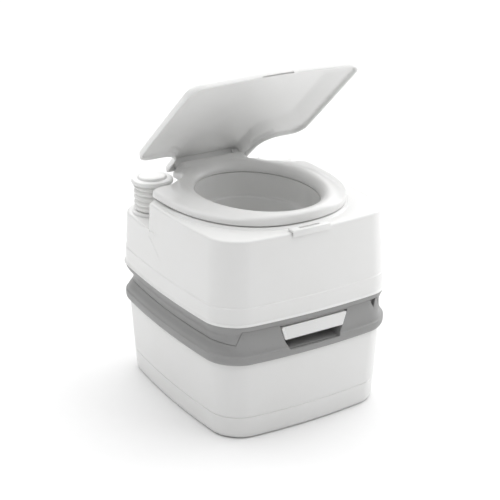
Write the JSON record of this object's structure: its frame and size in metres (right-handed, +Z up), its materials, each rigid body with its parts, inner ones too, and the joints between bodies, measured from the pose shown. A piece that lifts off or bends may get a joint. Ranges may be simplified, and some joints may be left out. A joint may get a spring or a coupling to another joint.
{
  "type": "portable cassette toilet",
  "caption": "White portable toilet: flush tank with bowl, seat and hinged lid, latched on a removable waste tank with a sliding valve and a grey waistband.",
  "frame": {"origin": "middle of the footprint, on the floor", "axes": "+Z up, -Y towards the user at the front, +X to the right of someone looking at the front"},
  "size_m": [0.383, 0.427, 0.6239],
  "materials": {
    "white_shell": "satin moulded",
    "grey_band": "fine moulded texture",
    "bowl_white": "polished",
    "white_bellows": "soft matt",
    "inner_grey": "moulded",
    "rubber": "matt",
    "steel": "plain"
  },
  "bodies": {
    "waste_tank": {"waste_tank_shell": "white_shell", "waste_tank_cover": "grey_band", "valve_housing": "inner_grey", "valve_lip_seal": "rubber", "valve_screw_1": "steel", "valve_screw_2": "steel", "valve_screw_3": "steel", "valve_screw_4": "steel", "vent_spring": "steel", "spout_collar": "rubber", "latch_keeper": "grey_band"},
    "valve": {"valve_blade": "inner_grey", "valve_handle": "white_shell"},
    "vent": {"vent_button": "inner_grey", "vent_seal": "rubber"},
    "spout": {"pour_spout": "inner_grey"},
    "spout_end": {"spout_cap": "inner_grey", "spout_cap_seal": "rubber"},
    "flush_unit": {"base_ring": "grey_band", "flush_tank_shell": "white_shell", "bowl": "bowl_white", "bowl_outlet_seal": "rubber", "flush_nozzle": "inner_grey", "flush_hose": "inner_grey", "pump_collar": "white_shell", "pump_bellows": "white_bellows", "pump_tube": "inner_grey", "fill_neck": "white_bellows", "catch_pad": "white_shell", "latch_pin": "steel", "hinge_bracket_left": "white_shell", "hinge_bracket_right": "white_shell", "hinge_pin_left": "steel", "hinge_pin_right": "steel"},
    "pump": {"pump_cap": "white_shell"},
    "filler": {"fill_cap": "white_shell", "fill_cap_seal": "rubber"},
    "catch": {"lid_catch": "inner_grey"},
    "latch": {"rear_latch": "inner_grey"},
    "seat": {"seat_ring": "white_shell", "seat_buffer_1": "rubber", "seat_buffer_2": "rubber", "seat_buffer_3": "rubber", "seat_buffer_4": "rubber"},
    "lid": {"lid": "white_shell"}
  },
  "joints": [
    {"name": "flush_unit_lift", "type": "slide", "parent": "waste_tank", "child": "flush_unit", "axis": [0, 0, 1], "range_m": [0, 0.06]},
    {"name": "valve_slide", "type": "slide", "parent": "waste_tank", "child": "valve", "axis": [0, -1, 0], "range_m": [0, 0.1]},
    {"name": "vent_press", "type": "slide", "parent": "waste_tank", "child": "vent", "axis": [0, 0, -1], "range_m": [0, 0.004], "stiffness_N_per_m": 500, "springref_m": -0.002, "deforming": ["vent_spring"]},
    {"name": "spout_swivel", "type": "hinge", "parent": "waste_tank", "child": "spout", "pos_m": [0.02, 0.16, 0.186], "axis": [0, 0, 1], "range_deg": [0, 90]},
    {"name": "spout_cap_turn", "type": "hinge", "parent": "spout", "child": "spout_end", "pos_m": [0.097, 0.16, 0.186], "axis": [1, 0, 0], "range_deg": [0, 270]},
    {"name": "pump_press", "type": "slide", "parent": "flush_unit", "child": "pump", "axis": [0, 0, -1], "range_m": [0, 0.025], "stiffness_N_per_m": 600, "springref_m": -0.004, "deforming": ["pump_bellows"]},
    {"name": "fill_cap_lift", "type": "slide", "parent": "flush_unit", "child": "filler", "axis": [0, 0, 1], "range_m": [0, 0.04]},
    {"name": "catch_press", "type": "slide", "parent": "flush_unit", "child": "catch", "axis": [0, 1, 0], "range_m": [0, 0.002], "stiffness_N_per_m": 400, "springref_m": -0.001},
    {"name": "latch_turn", "type": "hinge", "parent": "flush_unit", "child": "latch", "pos_m": [0, 0.2092, 0.213], "axis": [1, 0, 0], "range_deg": [0, 90]},
    {"name": "seat_hinge", "type": "hinge", "parent": "flush_unit", "child": "seat", "pos_m": [0, 0.16, 0.388], "axis": [-1, 0, 0], "range_deg": [0, 55]},
    {"name": "lid_hinge", "type": "hinge", "parent": "seat", "child": "lid", "pos_m": [0, 0.16, 0.388], "axis": [-1, 0, 0], "range_deg": [-41.4, 55]}
  ],
  "couplings": [
    {"joint": "latch_turn", "follows": "flush_unit_lift", "rad_per_m": 26.1}
  ]
}
